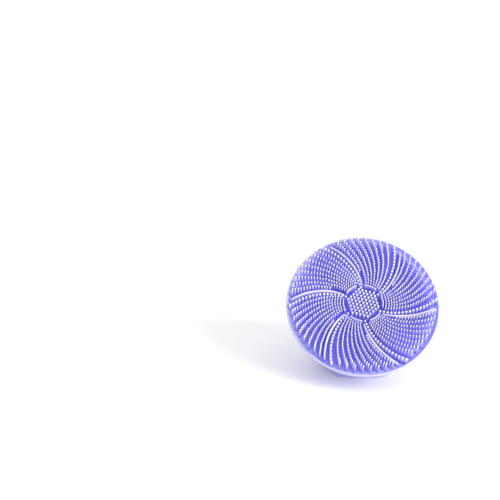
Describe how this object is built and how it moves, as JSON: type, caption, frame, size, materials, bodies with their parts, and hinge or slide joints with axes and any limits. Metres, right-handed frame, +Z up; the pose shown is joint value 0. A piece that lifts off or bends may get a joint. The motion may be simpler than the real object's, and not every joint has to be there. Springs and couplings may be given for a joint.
{
  "type": "facial cleansing brush",
  "caption": "Palm-held silicone facial cleansing brush, taken to be battery powered: a wide round bristle pad on a smaller sealed body, leaning back on a flat foot.",
  "frame": {"origin": "on the standing surface, under the middle of the brush's width and depth", "axes": "+Z up, -Y towards the side that the bristle face leans towards, +X to the right seen from the bristle face"},
  "size_m": [0.096, 0.0886, 0.0805],
  "materials": {
    "pad_silicone": "matte moulded silicone",
    "grip_silicone": "matte moulded silicone",
    "shell_plastic": "fine moulded texture",
    "inner_plastic": "plain moulded",
    "panel_plastic": "gloss",
    "button_plastic": "satin",
    "light_plastic": "frosted, translucent",
    "dark_rubber": "matte",
    "steel": "bright",
    "brass": "machined",
    "board": "solder resist",
    "cell_foil": "wrapped foil",
    "red_wire": "insulated wire",
    "black_wire": "insulated wire"
  },
  "bodies": {
    "handle": {"brush_head": "pad_silicone", "front_shell": "shell_plastic", "rear_housing": "inner_plastic", "grip_skin": "grip_silicone", "housing_seal": "dark_rubber", "housing_screw_1": "steel", "housing_screw_2": "steel", "housing_screw_3": "steel", "housing_screw_4": "steel", "control_panel": "panel_plastic", "light_ring": "light_plastic", "inner_frame": "inner_plastic", "circuit_board": "board", "board_screw_1": "steel", "board_screw_2": "steel", "board_screw_3": "steel", "board_screw_4": "steel", "power_switch": "dark_rubber", "plus_switch": "dark_rubber", "minus_switch": "dark_rubber", "status_led_1": "light_plastic", "status_led_2": "light_plastic", "control_chip": "dark_rubber", "charging_socket": "steel", "battery": "cell_foil", "battery_foam": "dark_rubber", "motor_sleeve": "dark_rubber", "motor_can": "steel", "motor_strap": "inner_plastic", "battery_lead_red": "red_wire", "motor_lead_red": "red_wire", "battery_lead_black": "black_wire", "motor_lead_black": "black_wire"},
    "power_button": {"power_button": "button_plastic"},
    "plus_button": {"plus_button": "button_plastic"},
    "minus_button": {"minus_button": "button_plastic"},
    "motor_rotor": {"motor_shaft": "steel", "eccentric_weight": "brass"},
    "port_cover": {"port_cover": "grip_silicone"}
  },
  "joints": [
    {"name": "power_button_press", "type": "slide", "parent": "handle", "child": "power_button", "axis": [0, -0.6756, 0.7373], "range_m": [0, 0.0006], "stiffness_N_per_m": 800, "springref_m": -0.0006},
    {"name": "plus_button_press", "type": "slide", "parent": "handle", "child": "plus_button", "axis": [0, -0.6756, 0.7373], "range_m": [0, 0.0006], "stiffness_N_per_m": 800, "springref_m": -0.0006},
    {"name": "minus_button_press", "type": "slide", "parent": "handle", "child": "minus_button", "axis": [0, -0.6756, 0.7373], "range_m": [0, 0.0006], "stiffness_N_per_m": 800, "springref_m": -0.0006},
    {"name": "motor_spin", "type": "hinge", "parent": "handle", "child": "motor_rotor", "pos_m": [0, 0.00871, 0.04109], "axis": [1, 0, 0], "continuous": true},
    {"name": "port_cover_pull", "type": "slide", "parent": "handle", "child": "port_cover", "axis": [0, 0.7373, 0.6756], "range_m": [0, 0.008]}
  ]
}
